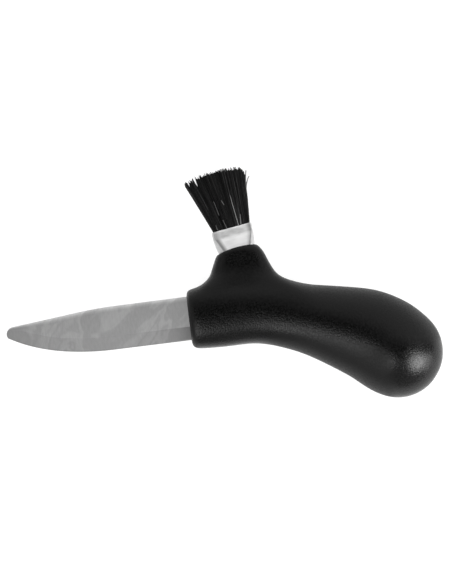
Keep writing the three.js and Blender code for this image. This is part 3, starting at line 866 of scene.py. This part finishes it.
cement, nodes, links, shader = new_material("pale_socket_cement")
shader.inputs["Roughness"].default_value = 0.8
place = add_node(nodes, "TexCoord")
filler = add_node(nodes, "TexNoise", Scale=900, Detail=5)
body = add_node(nodes, "ValToRGB")
body.color_ramp.elements[0].color = (0.42, 0.39, 0.33, 1)
body.color_ramp.elements[1].color = (0.66, 0.63, 0.56, 1)
grit = add_node(nodes, "Bump", Strength=0.5, Distance=0.0002)
links.new(place.outputs["Object"], filler.inputs["Vector"])
links.new(filler.outputs["Fac"], body.inputs["Fac"])
links.new(body.outputs["Color"], shader.inputs["Base Color"])
links.new(filler.outputs["Fac"], grit.inputs["Height"])
links.new(grit.outputs["Normal"], shader.inputs["Normal"])
frame["nodes"]["socket_cement"].material_slots[0].material = cement

# FLOOR AND LIGHT
# A plain white floor under soft studio light: a world that is dark overhead and bright all round, and
# four square lamps on the cutting edge's side, two towards the tip and two towards the butt. The floor
# glows for the camera and in reflections only, more with distance, where the lamps no longer reach.

FLOOR_RADIUS = 4000
FLOOR_GREY = 0.47
LAMP_AIM = Vector((40, -8, 0))

bm = bmesh.new()
bmesh.ops.create_circle(bm, cap_ends=True, segments=64, radius=FLOOR_RADIUS)
floor = finished(bm, "floor", Matrix.Scale(MM, 4))
white, nodes, links, shader = new_material("white_floor")
shader.inputs["Base Color"].default_value = (FLOOR_GREY, FLOOR_GREY, FLOOR_GREY, 1)
shader.inputs["Roughness"].default_value = 1.0
shader.inputs["Specular IOR Level"].default_value = 0.0
shader.inputs["Emission Color"].default_value = (1, 1, 1, 1)
ray = add_node(nodes, "LightPath")
mirrored = add_node(nodes, "Math", operation="MAXIMUM")
seen = add_node(nodes, "Math", operation="MAXIMUM")
glow = add_node(nodes, "Math", operation="MULTIPLY")
place = add_node(nodes, "TexCoord")
far = add_node(nodes, "VectorMath", operation="LENGTH")
far_glow = add_node(nodes, "MapRange", From_Min=0.3, From_Max=1.6, To_Min=0.62, To_Max=1.0)
links.new(place.outputs["Object"], far.inputs[0])
links.new(far.outputs["Value"], far_glow.inputs["Value"])
links.new(far_glow.outputs["Result"], glow.inputs[1])
links.new(ray.outputs["Is Glossy Ray"], mirrored.inputs[0])
links.new(ray.outputs["Is Transmission Ray"], mirrored.inputs[1])
links.new(ray.outputs["Is Camera Ray"], seen.inputs[0])
links.new(mirrored.outputs["Value"], seen.inputs[1])
links.new(seen.outputs["Value"], glow.inputs[0])
links.new(glow.outputs["Value"], shader.inputs["Emission Strength"])
floor.data.materials.append(white)
floor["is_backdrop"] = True

world = bpy.data.worlds.new("studio")
world.use_nodes = True
bpy.context.scene.world = world
nodes, links = world.node_tree.nodes, world.node_tree.links
place = add_node(nodes, "TexCoord")
height = add_node(nodes, "VectorMath", operation="DOT_PRODUCT")
height.inputs[1].default_value = knife_z
side = add_node(nodes, "VectorMath", operation="DOT_PRODUCT")
side.inputs[1].default_value = knife_y
rise = add_node(nodes, "ValToRGB")
set_ramp(rise, [(0.0, 0.66), (0.38, 0.62), (0.68, 0.57), (0.85, 0.4), (0.95, 0.1), (1.0, 0.0)])
half_side = add_node(nodes, "Math", operation="MULTIPLY_ADD")
half_side.inputs[1].default_value = 0.5
half_side.inputs[2].default_value = 0.5
lean = add_node(nodes, "ValToRGB")
set_ramp(lean, [(0.0, 0.8), (0.3, 0.6), (0.5, 0.4), (0.7, 0.88), (1.0, 1.6)])
links.new(place.outputs["Generated"], height.inputs[0])
links.new(place.outputs["Generated"], side.inputs[0])
links.new(height.outputs["Value"], rise.inputs["Fac"])
links.new(side.outputs["Value"], half_side.inputs[0])
links.new(half_side.outputs["Value"], lean.inputs["Fac"])
links.new(rise.outputs["Color"], nodes["Background"].inputs["Color"])
links.new(lean.outputs["Color"], nodes["Background"].inputs["Strength"])


def add_lamp(name, way, size, level, shadow=True):
    """A square lamp a metre from the grip, in a direction along the knife's own axes."""
    aim = KNIFE @ LAMP_AIM
    away = knife_turn.to_3x3() @ Vector(way).normalized()
    light = bpy.data.lights.new(name, "AREA")
    light.size = size
    light.energy = level * math.pi * size**2
    light.use_shadow = shadow
    lamp = bpy.data.objects.new(name, light)
    lamp.location = aim + away
    lamp.rotation_euler = away.to_track_quat("Z", "Y").to_euler()
    bpy.context.scene.collection.objects.link(lamp)


add_lamp("grip_lamp", (-0.31, -0.36, 0.88), 0.42, 3.1)
add_lamp("tip_lamp", (-0.58, -0.5, 0.64), 0.12, 11.0)
add_lamp("butt_lamp", (0.63, -0.43, 0.64), 0.5, 11.5, shadow=False)
add_lamp("side_lamp", (0.86, -0.42, 0.3), 0.5, 3.5, shadow=False)

# CAMERA
# Square to the knife's side with a long lens, turned as the photograph is.

PICTURE_TURN = math.radians(7.3)
PICTURE_CENTRE = Vector((15.43, 8.6, 0.0))
PICTURE_HEIGHT = 230.1
LENS = 100.0
SENSOR = 36.0

camera_data = bpy.data.cameras.new("camera")
camera_data.lens = LENS
camera_data.sensor_width = SENSOR
camera = bpy.data.objects.new("camera", camera_data)
distance = PICTURE_HEIGHT * LENS / SENSOR * MM
stand = KNIFE @ PICTURE_CENTRE + knife_z * distance
camera.matrix_world = Matrix.Translation(stand) @ knife_turn @ Matrix.Rotation(-PICTURE_TURN, 4, "Z")
bpy.context.scene.collection.objects.link(camera)
bpy.context.scene.camera = camera
bpy.context.scene.view_settings.view_transform = "Standard"

bpy.context.view_layer.update()
low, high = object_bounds()
